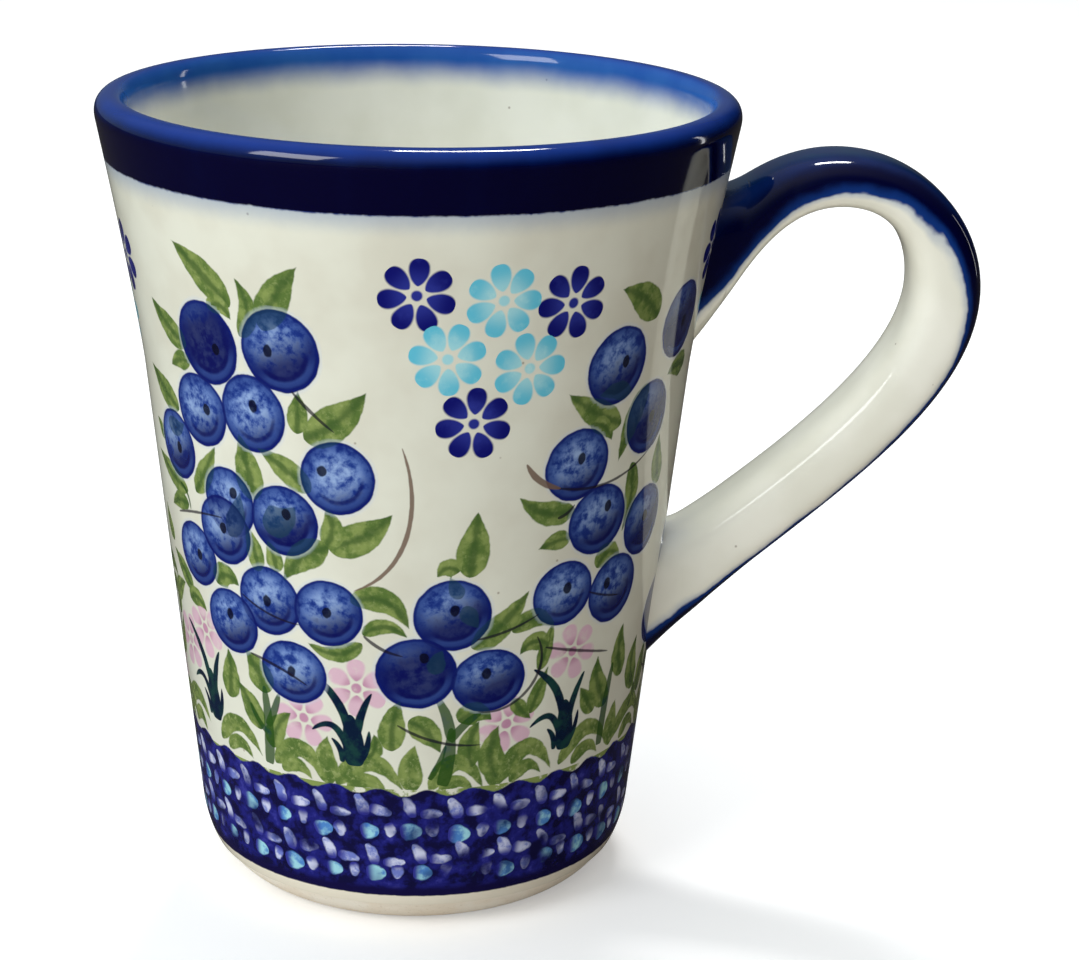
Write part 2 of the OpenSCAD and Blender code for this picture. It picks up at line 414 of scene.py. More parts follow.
# %% [markdown]
# ## The painter's marks
# The decoration is a garden swag: dotted flowers over a cluster of bilberries, with taller stacks of
# berries on both sides and grass along the band. A painter makes it from a few kinds of mark, so
# the script keeps short lists of marks, in degrees round the cup and millimetres up it, as a
# pricked pattern would. For every vertex near a mark it stores where that vertex lies on the mark:
# how far along and across a brush stroke, or how far from the middle of a berry or a flower. The
# shader turns those coordinates into paint. Marks that nearly touch go on different layers.

# %% Coordinates on a mark
DEGREE = math.pi / 180
NO_MARK = -500
LINE_STEPS = 18
PAINTED_REACH, CLEAR_REACH = 0.75, 1.6


def surface_of(piece):
    """Turn in degrees from the front towards the handle, height and radius, for each vertex."""
    flat = np.empty(len(piece.data.vertices) * 3)
    piece.data.vertices.foreach_get("co", flat)
    x, y, z = flat.reshape(-1, 3).T / MM
    return np.degrees(np.arctan2(x, -y)), z, np.hypot(x, y)


def from_point(surface, turn, height):
    turns, heights, radii = surface
    return ((turns - turn + 180) % 360 - 180) * DEGREE * radii, heights - height


def smooth_line(points):
    points = np.array(points, float)
    along = np.concatenate([[0], np.cumsum(np.hypot(*np.diff(points, axis=0).T))])
    degree = min(3, len(points) - 1)
    at = np.linspace(0, along[-1], LINE_STEPS)
    return np.stack([np.polyval(np.polyfit(along, axis, degree), at) for axis in points.T], 1)


def along_and_across(x, y, line):
    """Share of the way along a line, and signed distance from it, running on past both ends."""
    step = np.diff(line, axis=0)
    length = np.hypot(*step.T)
    dx, dy = x[:, None] - line[:-1, 0], y[:, None] - line[:-1, 1]
    share = (dx * step[:, 0] + dy * step[:, 1]) / length ** 2
    share[:, 0] = np.minimum(share[:, 0], 1)
    share[:, 1:-1] = np.clip(share[:, 1:-1], 0, 1)
    share[:, -1] = np.maximum(share[:, -1], 0)
    away = np.hypot(dx - share * step[:, 0], dy - share * step[:, 1])
    nearest = np.argmin(away, axis=1)
    row = np.arange(len(x))
    side = np.sign(step[nearest, 0] * dy[row, nearest] - step[nearest, 1] * dx[row, nearest])
    start = np.concatenate([[0], np.cumsum(length)])
    along = (start[nearest] + share[row, nearest] * length[nearest]) / start[-1]
    return along, side * away[row, nearest], start[-1]


def stroke(surface, points, width, root=None):
    """A brush stroke through points in degrees and heights, or in millimetres from a root."""
    points = np.array(points, float)
    if root is None:
        root = points.mean(axis=0)
        points = points - root
        points[:, 0] *= DEGREE * (wall_radius(root[1]) + GLAZE)
    line = smooth_line(points)
    x, y = from_point(surface, *root)
    low, high = line.min(axis=0) - width - CLEAR_REACH, line.max(axis=0) + width + CLEAR_REACH
    window = np.flatnonzero((x > low[0]) & (x < high[0]) & (y > low[1]) & (y < high[1]))
    along, across, length = along_and_across(x[window], y[window], line)
    half = width / 2
    past_end = np.maximum(-along, along - 1) * length
    values = np.stack([along, across / half, np.full(len(window), half)], 1)
    return window, values, np.maximum(np.abs(across) - half, past_end)


def spot(surface, turn, height, half_wide, half_high, own, lean=0):
    """A round mark. It stores x and y in units of its radius, and one number of its own."""
    x, y = from_point(surface, turn, height)
    reach = max(half_wide, half_high)
    window = np.flatnonzero((np.abs(x) < reach + CLEAR_REACH) & (np.abs(y) < reach + CLEAR_REACH))
    cos, sin = math.cos(lean * DEGREE), math.sin(lean * DEGREE)
    u, v = x[window] / half_wide, y[window] / half_high
    values = np.stack([u * cos + v * sin, v * cos - u * sin, np.full(len(window), own)], 1)
    return window, values, (np.hypot(u, v) - 1) * reach


def lay_out(piece, name, marks):
    """Gives each mark the first layer where nothing else is near, and stores the layers."""
    count = len(piece.data.vertices)
    layers = []
    for window, values, reach in marks:
        clear = window[reach < CLEAR_REACH]
        free = [layer for layer in layers if not (layer[clear, 2] > NO_MARK).any()]
        if not free:
            free = [np.tile([0.0, 0.0, NO_MARK], (count, 1))]
            layers += free
        painted = reach < PAINTED_REACH
        free[0][window[painted]] = values[painted]
    names = [f"{name}_{number}" for number in range(len(layers))]
    for label, layer in zip(names, layers):
        attribute = piece.data.attributes.new(label, "FLOAT_VECTOR", "POINT")
        attribute.data.foreach_set("vector", layer.astype(np.float32).ravel())
    print(name, len(marks), "marks on", len(layers), "layers")
    return names


# %% [markdown]
# Each list below is one kind of mark. A berry is (turn, height, half width, half height, how deep
# its colour is, turn and height of its eye). A leaf or stroke is its points from base to tip, and
# its width. The stacks and most pink flowers come twice round the cup; the navy and turquoise
# flowers with the low berries under them come four times.

# %% The pattern
STACK_TURNS = (0, 180)
SWAG_TURNS = (0, 76, 180, 256)

STACK_BERRIES = [
    (-44, 82.3, 5.4, 5.7, 0.95, -41.6, 81.8), (-26.5, 83.1, 5.6, 5.6, 0.55, -28.9, 82.9),
    (-48.8, 72.5, 5.1, 5, 0.35, -46.7, 72.8), (-34.1, 73.9, 5, 5.3, 0.30, -33.7, 74.9),
    (-60, 66, 4.8, 4.8, 0.50, -59, 65.6), (-42.8, 60.6, 4.6, 4.9, 0.30, -41.2, 62.1),
    (-45.2, 56.3, 4.9, 4.8, 0.40, -45.3, 56.6), (-28.4, 59.8, 5, 4.9, 0.55, -27.6, 60.8),
    (-16, 66.7, 5, 5, 0.25, -19.1, 67.5), (-56.8, 51, 4.8, 4.5, 0.40, -55.5, 51.1),
    (-33.8, 47.9, 4.9, 4.9, 0.40, -34.2, 47.8), (-19.3, 47.6, 4.8, 4.7, 0.45, -19.5, 47.7),
    (-45.7, 43.2, 4.9, 4.6, 0.45, -46, 44.2), (-28.7, 38.2, 5, 4.5, 0.35, -29, 38.2),
    (42.2, 79.9, 5.3, 5.4, 0.50, 44, 80.3), (34.4, 67.2, 5.1, 5, 0.35, 35.1, 68),
    (41.6, 58.7, 5.2, 4.9, 0.45, 44, 60.3), (33.7, 49.2, 4.8, 4.6, 0.35, 34.5, 49.8),
    (49.3, 47.7, 5, 4.9, 0.50, 46.7, 48.8), (54.6, 71.2, 4.9, 5.1, 0.70, 56, 71),
    (58.5, 56, 4.9, 5, 0.60, 59, 56.5), (62.5, 83.5, 5.2, 5.3, 0.80, 64, 83)]
SWAG_BERRIES = [
    (7.9, 48, 5.2, 5.1, 0.60, 8.3, 48.7), (0.1, 39.7, 5.4, 5.1, 0.90, 1.8, 42),
    (16.6, 38.2, 5.1, 4.6, 0.60, 16, 39.2)]
STACK_LEAVES = [
    ([(-36.5, 88), (-42.5, 91.8), (-49.6, 95.3)], 4.4),
    ([(-50.5, 81), (-55.5, 82.6), (-61.5, 86)], 3.8),
    ([(-50, 78.8), (-53.5, 78.6), (-57.5, 77.3)], 2.7),
    ([(-57, 71.3), (-62, 72.8), (-69, 75.8)], 3.8),
    ([(-34.9, 84.3), (-32.4, 88), (-34.4, 92)], 2.9),
    ([(-29.5, 85.6), (-26.6, 89.8), (-21.2, 94.6)], 4.5),
    ([(-42, 87.2), (-39.3, 88), (-36.5, 86.2)], 2.6),
    ([(-22.5, 71.6), (-16.4, 74), (-9.5, 78.6)], 4.9),
    ([(-24, 72.2), (-23.6, 75), (-23.2, 78)], 3),
    ([(-21.8, 64.4), (-27, 67), (-33.4, 69.3)], 3.5),
    ([(-36, 61.8), (-36.4, 66), (-38, 70.6)], 4.6),
    ([(-53.8, 60.3), (-50, 63.3), (-45.3, 67.8)], 3.3),
    ([(-57.5, 59.8), (-64.5, 60.9), (-73, 63.2)], 3.3),
    ([(-57.8, 57.8), (-62.5, 57.6), (-67.3, 56.2)], 2.7),
    ([(-19.3, 57), (-17.4, 59.4), (-18.8, 62.5)], 3.3),
    ([(-18.6, 57.2), (-11.8, 58.6), (-4.8, 62.2)], 4.6),
    ([(-18.4, 57), (-23.8, 55.4), (-29.2, 51.4)], 4.1),
    ([(-31, 52.3), (-31.4, 54.2), (-32.8, 56.6)], 2.6),
    ([(-36, 51.8), (-36.6, 55), (-38.5, 58.2)], 2.8),
    ([(-14, 49.6), (-7.6, 50.2), (-1.5, 46.2)], 3.6),
    ([(-11.5, 45), (-6.5, 46.4), (-2, 45)], 2.3),
    ([(-11.8, 43.8), (-17.5, 41.9), (-24.5, 43)], 2.5),
    ([(-36.8, 34), (-38.6, 37), (-42, 39.6)], 4.3),
    ([(-49.6, 31.4), (-48.2, 34.6), (-48.2, 38.7)], 3.8),
    ([(-39.3, 28.2), (-41.9, 31.4), (-45.8, 34.4)], 3.5),
    ([(-61, 45), (-65, 46.8), (-71.2, 49.2)], 3.1),
    ([(-63.5, 43.3), (-60, 44.2), (-55.5, 42.8)], 2.9),
    ([(-49.5, 48), (-46.2, 49.8), (-42, 48.8)], 3.6),
    ([(-63, 68.9), (-59.5, 68.4), (-55.8, 69.4)], 2.7),
    ([(-33.6, 59.2), (-29.8, 59.6), (-25.5, 62)], 4.4),
    ([(-43.4, 55.8), (-41, 58.6), (-39.2, 62.4)], 3.2),
    ([(-74.5, 41), (-70.8, 43.6), (-66, 45)], 3),
    ([(-66.8, 65.4), (-68.5, 66.8), (-70.8, 68)], 2),
    ([(-70.5, 50.3), (-72.6, 52.4), (-73.6, 55.2)], 2.6),
    ([(-36, 26), (-34.2, 29.4), (-30, 32)], 3.2),
    ([(51.5, 85.3), (46.8, 88.4), (40, 90.4)], 4.6),
    ([(45, 71.6), (38.2, 73.8), (30.2, 77.3)], 3.9),
    ([(34.5, 61), (29, 61), (21.2, 63.8)], 3.5),
    ([(34, 57), (30.8, 57), (26.2, 56.2)], 2.7),
    ([(42.6, 51.6), (46, 53.4), (50, 52.2)], 3.2),
    ([(46.8, 75.6), (43, 76.4), (38, 76.2)], 2.6),
    ([(53, 76), (49, 71.8), (45.6, 66.2)], 3.6),
    ([(50.4, 65.4), (51.6, 61), (49.8, 55.8)], 3),
    ([(36.5, 72.4), (39.6, 72), (42.8, 69.6)], 2.5),
    ([(52, 30.2), (48.2, 33), (46.6, 38)], 3.8),
    ([(46.8, 29.8), (44.4, 31.8), (41.6, 34.2)], 2.8),
    ([(57.5, 33.5), (55.2, 36.6), (55.6, 41.4)], 3.6),
    ([(64, 60.5), (61.6, 63.6), (61.2, 67.6)], 3.4),
    ([(70, 76), (66, 76.8), (60.6, 76)], 3.6),
    ([(66, 30), (63, 33.4), (64.4, 38)], 3.8)]
SWAG_LEAVES = [
    ([(11.2, 53.3), (11.9, 57.4), (12.5, 62.4)], 4.4), ([(9, 54.2), (6.6, 54.8), (4.4, 53.6)], 2.6),
    ([(9.5, 50.4), (8.3, 51.8), (7, 53.4)], 2), ([(10.2, 49.2), (11.8, 47.6), (13.6, 46)], 2.3),
    ([(4.4, 39.6), (4.6, 41.2), (5.8, 43)], 2.5), ([(12.2, 43.2), (18.6, 46), (24.8, 50.5)], 3.7),
    ([(21.5, 44.8), (26, 46.4), (32, 44.6)], 3), ([(30.6, 42.2), (27, 43), (23.6, 41.4)], 2.7),
    ([(28.8, 38.6), (30.2, 41.6), (31.6, 45.4)], 2.2), ([(27.2, 32.4), (29, 35.2), (31.2, 38.8)], 2.4),
    ([(22.8, 35), (24.6, 33.4), (27.6, 31.6)], 2.2), ([(-5.4, 28.2), (-5.2, 32.2), (-3.4, 35.8)], 3.7),
    ([(-1.6, 32.8), (2, 31.4), (5.8, 28)], 3.7), ([(10, 32.4), (13.4, 33.6), (17.6, 32.4)], 3.4),
    ([(13.6, 25.6), (12.6, 28.8), (14.8, 32.4)], 3.2), ([(19.6, 23.6), (17.8, 27.2), (19.6, 31.4)], 3.6),
    ([(-11.2, 27), (-9.4, 28.4), (-9.6, 30.6)], 2.2)]
STACK_GRASS = [
    ([(-75.5, 24.3), (-68, 28.4), (-60.5, 25.2)], 2.8), ([(-55, 24), (-47.6, 27.8), (-39.8, 24.2)], 2.7),
    ([(-35.5, 23.8), (-28.6, 27), (-22, 22.6)], 2.9), ([(-19, 22.4), (-11, 26.4), (-2.8, 22.2)], 3),
    ([(37, 23.4), (45.6, 27.6), (54.5, 23.8)], 2.8), ([(56.5, 23.6), (66, 27.6), (75, 23.6)], 2.8),
    ([(-71, 23.6), (-67.6, 25.4), (-63.4, 23.4)], 2.2), ([(-52, 23.2), (-47.4, 25), (-43, 23.2)], 2.2),
    ([(-33.4, 23), (-29.6, 24.4), (-25.4, 22.6)], 2.2), ([(-16.2, 22.2), (-11.4, 23.6), (-6.6, 21.8)], 2.2),
    ([(41.2, 22.8), (46, 24.8), (50.6, 23)], 2.2), ([(61.4, 22.8), (66, 24.8), (70.6, 23)], 2.2),
    ([(-20.4, 22.4), (-21.6, 26), (-20.8, 29.6)], 3.4), ([(56, 23), (55.4, 26.4), (56.6, 30)], 3.2)]
SWAG_GRASS = [
    ([(3.5, 22.3), (9.8, 26.4), (16.5, 22)], 2.7), ([(20.3, 22.6), (27.6, 27.4), (34.5, 23.2)], 2.9),
    ([(5.8, 22), (10, 23.6), (14, 21.6)], 2), ([(23.4, 22.4), (27.6, 24.6), (31.6, 23)], 2.2),
    ([(-0.2, 22.2), (-1.2, 25.4), (0, 29.2)], 3.3), ([(18.8, 22.2), (19.6, 25.6), (18.4, 28.8)], 3.4)]
STACK_STEMS = [
    ([(-37.5, 23.4), (-36.8, 29), (-37.2, 35)], 1.7), ([(-37, 29.2), (-35, 31.4), (-33, 34.4)], 1.2),
    ([(-37.2, 28), (-39.6, 29.4), (-42, 31.8)], 0.9), ([(-60.8, 60.4), (-58.4, 59.6), (-57.2, 57.2)], 0.5),
    ([(51, 24), (51.6, 30), (53, 36)], 1.5)]
SWAG_STEMS = [
    ([(6.4, 23), (7.8, 27), (8.2, 31.6)], 1.8), ([(8.2, 30), (7.2, 33), (4.8, 36.2)], 1.5),
    ([(8, 29.6), (11, 31.8), (15.6, 33.8)], 1.2), ([(3.4, 24), (5.4, 26.2), (7, 29)], 0.8)]
SPRIG_ROOTS = [(-56.7, 27.5), (-14.5, 26.6), (37.7, 26.6)]
SPRIG_MARKS = [
    ([(0.1, -1), (0, 2.4), (-0.4, 6.6)], 3), ([(-0.5, 3.4), (-2.2, 8.6), (-6, 12.2)], 1.3),
    ([(0.4, 2.2), (1, 6), (2.7, 10)], 1.2), ([(-1, 1.6), (-3.2, 4.8), (-5.8, 3.6)], 1),
    ([(1, -0.2), (1.8, 1.8), (2.2, 4.4)], 0.9), ([(-1.6, -0.6), (-1.9, 1.4), (-3, 2.8)], 0.9)]
STACK_LINES = [
    ([(-24.6, 77.9), (-21, 75.5), (-16.2, 72.9)], 0.5), ([(-63.6, 55.8), (-55, 57.2), (-45.4, 58)], 0.4),
    ([(-40.4, 39.4), (-33, 38.5), (-25.2, 36.6)], 0.45), ([(-11.4, 44.9), (-7, 43), (-2.8, 42.2)], 0.5),
    ([(29, 64.6), (42, 63.6), (57, 66.4)], 0.4),
    ([(30.3, 60.2), (32.4, 60.6), (34.4, 61.7)], 0.5), ([(-41.6, 47.9), (-34, 46), (-25.8, 45.3)], 0.35),
    ([(41, 48.4), (46, 47.2), (52, 46.3)], 0.35), ([(30, 41.8), (40, 40), (50, 38.3)], 0.45)]
SWAG_LINES = [
    ([(-4.2, 32.1), (4, 29.8), (15.4, 28.8)], 0.45), ([(13.4, 44.3), (20, 45.1), (27.6, 46.9)], 0.4),
    ([(27.8, 43.6), (29.2, 40.6), (26.6, 36), (20.6, 34), (14.4, 33.7)], 0.45)]
BROWN_LINES = [
    ([(-2.8, 71.3), (-0.9, 64), (-3.6, 56.6), (-13, 51.2)], 0.62),
    ([(22.2, 68.4), (25.2, 66), (30.4, 64.4)], 0.9)]
PINK_FLOWERS = [(-57.2, 40, 10), (-67.2, 36.4, 40), (-13.3, 37.2, 0), (-26.6, 31.7, 25), (37.8, 40.2, 15)]
SWAG_PINK_FLOWERS = [(21.4, 31.4, 50)]
NAVY_FLOWERS = [(-0.2, 91.7, -5), (28.9, 89.7, -8), (10.9, 74.5, -4)]
TURQUOISE_FLOWERS = [(15.3, 90.8, 11), (5.5, 83.3, -22), (21.3, 81.5, 15)]
FLOWER_R = 5.0
EYE_HALF_W, EYE_HALF_H = 0.95, 1.2


# %% Store the marks on the wall
def turned(marks, turns):
    """The same marks again at each turn. A mark's points, or its first number, carry the turn."""
    moved = []
    for angle in turns:
        for mark in marks:
            if isinstance(mark[0], list):
                moved.append(([(turn + angle, height) for turn, height in mark[0]], mark[1]))
            else:
                moved.append((mark[0] + angle, *mark[1:]))
    return moved


wall = surface_of(painted_wall)
strokes = {
    "leaf": turned(STACK_LEAVES, STACK_TURNS) + turned(SWAG_LEAVES, SWAG_TURNS),
    "grass": turned(STACK_GRASS, STACK_TURNS) + turned(SWAG_GRASS, SWAG_TURNS),
    "stem": turned(STACK_STEMS, STACK_TURNS) + turned(SWAG_STEMS, SWAG_TURNS),
    "line": turned(STACK_LINES, STACK_TURNS) + turned(SWAG_LINES, SWAG_TURNS),
    "brown": turned(BROWN_LINES, STACK_TURNS)}
layers = {name: lay_out(painted_wall, name, [stroke(wall, *mark) for mark in marks])
          for name, marks in strokes.items()}
roots = turned(SPRIG_ROOTS, STACK_TURNS)
layers["sprig"] = lay_out(painted_wall, "sprig", [stroke(wall, *mark, root=root)
                                                  for root in roots for mark in SPRIG_MARKS])
berries = turned(STACK_BERRIES, STACK_TURNS) + turned(SWAG_BERRIES, SWAG_TURNS)
layers["berry"] = lay_out(painted_wall, "berry", [spot(wall, *berry[:5]) for berry in berries])
eyes = [spot(wall, berry[5] + turn_by, berry[6], EYE_HALF_W, EYE_HALF_H, 1)
        for group_of, turns in ((STACK_BERRIES, STACK_TURNS), (SWAG_BERRIES, SWAG_TURNS))
        for turn_by in turns for berry in group_of]
layers["eye"] = lay_out(painted_wall, "eye", eyes)
pink_flowers = turned(PINK_FLOWERS, STACK_TURNS) + turned(SWAG_PINK_FLOWERS, SWAG_TURNS)
for kind, flowers in (("navy", turned(NAVY_FLOWERS, SWAG_TURNS)),
                      ("turquoise", turned(TURQUOISE_FLOWERS, SWAG_TURNS)), ("pink", pink_flowers)):
    layers[kind] = lay_out(painted_wall, kind, [spot(wall, turn_at, height, FLOWER_R, FLOWER_R, 1, lean)
                                                for turn_at, height, lean in flowers])

# %% [markdown]
# The band above the foot is printed with small cut sponges: four rows of drops in two sizes, white
# ones between pale blue ones, never quite in line. Their places come from the row and the count,
# with a seeded slip for each, because no two prints land alike.

# %% Stamp the band
BAND_COUNT = 32
BAND_ROWS = [(20.1, False), (16.3, True), (13.0, False), (9.9, True)]
FIRST_DROP_TURN, ROW_LAG = -1.5, 0.09
slips = np.random.default_rng(7)
drops = {"white": [], "sky": []}
pitch = 360 / BAND_COUNT
for row, (height, big) in enumerate(BAND_ROWS):
    for count in range(BAND_COUNT):
        at = (count + ROW_LAG * row) * pitch + FIRST_DROP_TURN
        slip_x, slip_z, lean, size = slips.normal(0, 1, 4)
        dip = 0.45 * math.sin((at - 105) * DEGREE)
        root = (at + 0.35 * slip_x, height + 0.25 * slip_z + dip)
        reach = 1.15 + 0.1 * size
        if big:
            points = [(-1.1 * reach, 0.1 * lean), (0, 0), (1.25 * reach, -0.25)]
            drops["sky"].append((points, 2.4 + 0.2 * size, root))
            root = (root[0] + pitch / 2 + 0.3 * lean, root[1] + 0.3)
            drops["white"].append(([(0.2 * lean, 1.1), (0, 0), (-0.1, -1.1)], 1.5 + 0.1 * size, root))
        else:
            drops["white"].append(([(0.4, -1.5), (0.2, 0), (-0.8, 1.5)], 1.55 + 0.1 * size, root))
            root = (root[0] + pitch / 2 + 0.4 * lean, root[1] - 0.8 + 0.2 * size)
            points = [(-1.5, -0.2 * lean), (0, 0), (1.5, 0.2 * lean)]
            drops["white"].append((points, 1.45 + 0.1 * size, root))
band = surface_of(stamped_band)
for kind, marks in drops.items():
    layers[kind] = lay_out(stamped_band, kind, [stroke(band, *mark) for mark in marks])

# %% [markdown]
# ## Colours under one clear glaze
# All the colours are oxides brushed or sponged on the raw body and covered by a clear glaze, so
# every painted piece shares the same gloss and faint waviness. Each effect below is a small group
# with named inputs: the shape of a brush stroke, a petal or a berry, the bleed of the cobalt, iron
# specks, and the surface of the glaze.


# %% Brush strokes
PAST_END_MM = 12.0


def limited(g, value):
    return g.math("MINIMUM", g.math("MAXIMUM", value, 0.0), 1.0)


def soft_edge(g, depth, edge):
    return g.step(depth, g.times(edge, -1.0), edge)


brush_mark, g, given, result = node_group(
    "brush mark", {"Mark": (0, 0, 0), "Root power": 0.55, "Tip power": 0.9, "Wobble": 0.0, "Edge": 0.12},
    {"Mask": "Float", "Along": "Float", "Across": "Float"})
along, across, half = g.split(given["Mark"])
inside = limited(g, along)
powers = g.plus(given["Root power"], given["Tip power"])
root = g.math("POWER", inside, given["Root power"])
tip = g.math("POWER", g.minus(1.0, inside), given["Tip power"])
root_most = g.math("POWER", g.math("DIVIDE", given["Root power"], powers), given["Root power"])
tip_most = g.math("POWER", g.math("DIVIDE", given["Tip power"], powers), given["Tip power"])
swell = g.math("DIVIDE", g.times(root, tip), g.times(root_most, tip_most))
depth = g.times(g.minus(swell, g.math("ABSOLUTE", across)), half)
past = g.times(g.math("ABSOLUTE", g.minus(along, inside)), PAST_END_MM)
depth = g.minus(g.plus(depth, given["Wobble"]), past)
is_marked = g.math("GREATER_THAN", half, 0.0)
g.put(result["Mask"], g.times(soft_edge(g, depth, given["Edge"]), is_marked))
g.put(result["Along"], inside)
g.put(result["Across"], across)

# %% Stamped flowers
# A petal swells as share ** PETAL_BASE * (1 - share) ** PETAL_TIP, scaled to 1 where it is widest.
PETAL_BASE, PETAL_TIP = 0.7, 0.42
PETAL_WIDEST = PETAL_BASE / (PETAL_BASE + PETAL_TIP)
PETAL_SWELL = 1 / (PETAL_WIDEST ** PETAL_BASE * (1 - PETAL_WIDEST) ** PETAL_TIP)
EYE_R = 0.14
stamped_flower, g, given, result = node_group(
    "stamped flower",
    {"Mark": (0, 0, 0), "Petals": 7.0, "Inner": 0.25, "Outer": 0.98, "Half width": 0.25, "Wobble": 0.0,
     "Edge": 0.03},
    {"Mask": "Float", "Along": "Float"})
x, y, own = g.split(given["Mark"])
radius = g.radius(x, y)
half_petal = g.math("DIVIDE", math.pi, given["Petals"])
turned_by = g.math("WRAP", g.math("ARCTAN2", x, y), half_petal, g.times(half_petal, -1.0))
out = g.times(radius, g.math("COSINE", turned_by))
aside = g.times(radius, g.math("SINE", turned_by))
petal_length = g.minus(given["Outer"], given["Inner"])
share = limited(g, g.math("DIVIDE", g.minus(out, given["Inner"]), petal_length))
tip = g.math("POWER", g.minus(1.0, share), PETAL_TIP)
swell = g.times(g.math("POWER", share, PETAL_BASE), tip)
swell = g.times(g.times(swell, PETAL_SWELL), given["Half width"])
depth = g.plus(g.minus(swell, g.math("ABSOLUTE", aside)), given["Wobble"])
petal = soft_edge(g, depth, given["Edge"])
eye = g.step(g.plus(radius, given["Wobble"]), EYE_R + 0.03, EYE_R - 0.03)
within = g.times(g.math("LESS_THAN", radius, 1.1), g.math("GREATER_THAN", own, 0.0))
petal = g.times(petal, g.math("COMPARE", share, 0.5, 0.499))
g.put(result["Mask"], g.times(g.math("MAXIMUM", petal, eye), within))
g.put(result["Along"], share)

# %% Berries
BERRY_LIGHT, BERRY_MID, BERRY_BLUE = paint(156, 182, 222), paint(70, 102, 174), paint(26, 50, 128)
BERRY_DEEP, BERRY_LINE = paint(8, 10, 80), paint(12, 26, 104)
berry_wash, g, given, result = node_group(
    "berry wash", {"Mark": (0, 0, 0), "Mottle": 0.5, "Wobble": 0.0},
    {"Mask": "Float", "Halo": "Float", "Color": "Color"})
x, y, deep = g.split(given["Mark"])
used = g.math("GREATER_THAN", deep, 0.0)
radius = g.radius(x, y)
radius = g.plus(radius, given["Wobble"])
low_side = g.plus(g.times(y, -0.85), g.times(x, 0.35))
color = g.mix(g.step(given["Mottle"], 0.38, 0.56), BERRY_BLUE, BERRY_MID)
center = g.times(g.step(radius, 0.95, 0.3), 0.9)
bare = g.times(g.step(given["Mottle"], 0.43, 0.62), center)
color = g.mix(bare, color, BERRY_LIGHT)
pooled = g.plus(low_side, g.times(g.minus(given["Mottle"], 0.5), 1.6))
pooled = g.plus(pooled, g.times(g.minus(deep, 0.45), 1.9))
color = g.mix(g.times(g.step(pooled, -0.3, 0.65), 0.92), color, BERRY_DEEP)
crescent = g.times(g.step(radius, 0.7, 0.78), g.step(radius, 0.93, 0.84))
crescent = g.times(crescent, g.step(low_side, 0.2, 0.6))
color = g.mix(g.times(crescent, 0.45), color, BERRY_MID)
smile = g.times(g.step(radius, 0.58, 0.64), g.step(radius, 0.74, 0.67))
smile = g.times(smile, g.step(low_side, 0.12, 0.42))
color = g.mix(g.times(smile, 0.62), color, BERRY_DEEP)
ring = g.math("MAXIMUM", g.step(radius, 0.84, 0.95), g.times(g.step(radius, 0.6, 0.95), 0.55))
color = g.mix(g.times(ring, 0.88), color, BERRY_LINE)
g.put(result["Mask"], g.times(g.step(radius, 1.015, 0.975), used))
g.put(result["Halo"], g.times(g.step(radius, 1.12, 1.0), used))
g.put(result["Color"], color)

# %% Cobalt edges
# The rim's lower edge and the band's upper edge each cross from one coat to the next, so both
# coats use the same group, read at the same place.
BAND_SCALLOP_MM, BAND_DIP_MM = 0.5, 1.1
painted_edges, g, given, result = node_group(
    "painted edges",
    {"Rim at": RIM_EDGE - 0.15, "Band at": BAND_TOP + 0.55, "Ragged": 0.4, "Bleed": 3.2},
    {"Rim": "Float", "Bleed": "Float", "Band": "Float"})
x, y, z = g.split(g.place())
height = g.plus(z, g.waver(5.0, given["Ragged"], detail=4.0))
height = g.plus(height, g.waver(0.9, given["Ragged"], detail=2.0))
rise = g.minus(height, given["Rim at"])
g.put(result["Rim"], g.step(rise, -0.16, 0.2))
g.put(result["Bleed"], g.step(g.math("DIVIDE", rise, given["Bleed"]), -1.0, 0.15))
around = g.math("ARCTAN2", x, g.times(y, -1.0))
scallop = g.times(g.math("SINE", g.times(around, 32.0)), BAND_SCALLOP_MM)
dip = g.math("COSINE", g.minus(around, math.radians(12)))
dip = g.times(g.math("MAXIMUM", dip, 0.0), BAND_DIP_MM)
band_edge = g.minus(g.plus(given["Band at"], scallop), dip)
g.put(result["Band"], g.step(g.minus(band_edge, height), -0.14, 0.14))

# %% Cobalt, specks and the surface of the glaze
cobalt_wash, g, given, result = node_group(
    "cobalt wash", {"Thin": paint(24, 80, 165), "Thick": paint(3, 6, 62), "Share": 0.5, "Streak": 0.25},
    {"Color": "Color"})
streaks = g.waver(5.0, given["Streak"], vector=g.place((1.0, 1.0, 0.35)), detail=5.0)
share = g.plus(given["Share"], streaks)
g.put(result["Color"], g.mix(g.step(share, 0.0, 1.0), given["Thin"], given["Thick"]))

iron_specks, g, given, result = node_group(
    "iron specks", {"Size": 2.4, "Amount": 0.5}, {"Mask": "Float"})
cells = g.add("TexVoronoi", {"Vector": g.place(), "Scale": g.math("DIVIDE", 1.0, given["Size"])})
chosen = g.math("LESS_THAN", g.split(cells.outputs["Color"])[0], given["Amount"])
small = g.step(cells.outputs["Distance"], 0.1, 0.035)
g.put(result["Mask"], g.times(small, chosen))

glaze_surface, g, given, result = node_group(
    "glaze surface", {"Roughness": 0.07, "Waves": 0.5}, {"Roughness": "Float", "Height": "Float"})
wide, fine = g.noise(14.0, detail=1.0), g.noise(1.1, detail=2.0)
g.put(result["Height"], g.plus(g.times(wide, given["Waves"]), g.times(fine, 0.02)))
smudge = g.waver(9.0, 0.05, detail=3.0)
g.put(result["Roughness"], g.plus(given["Roughness"], smudge))


# %% [markdown]
# ## The materials
# Each piece gets its own material. The wall's is the longest, because it draws every layer of marks
# in the painter's order: grass and leaves first, then stems and berries, the stamped flowers, the
# ink lines, and last the cobalt of rim and band. A leaf that crosses a berry shows as dark green,
# since both washes are thin.

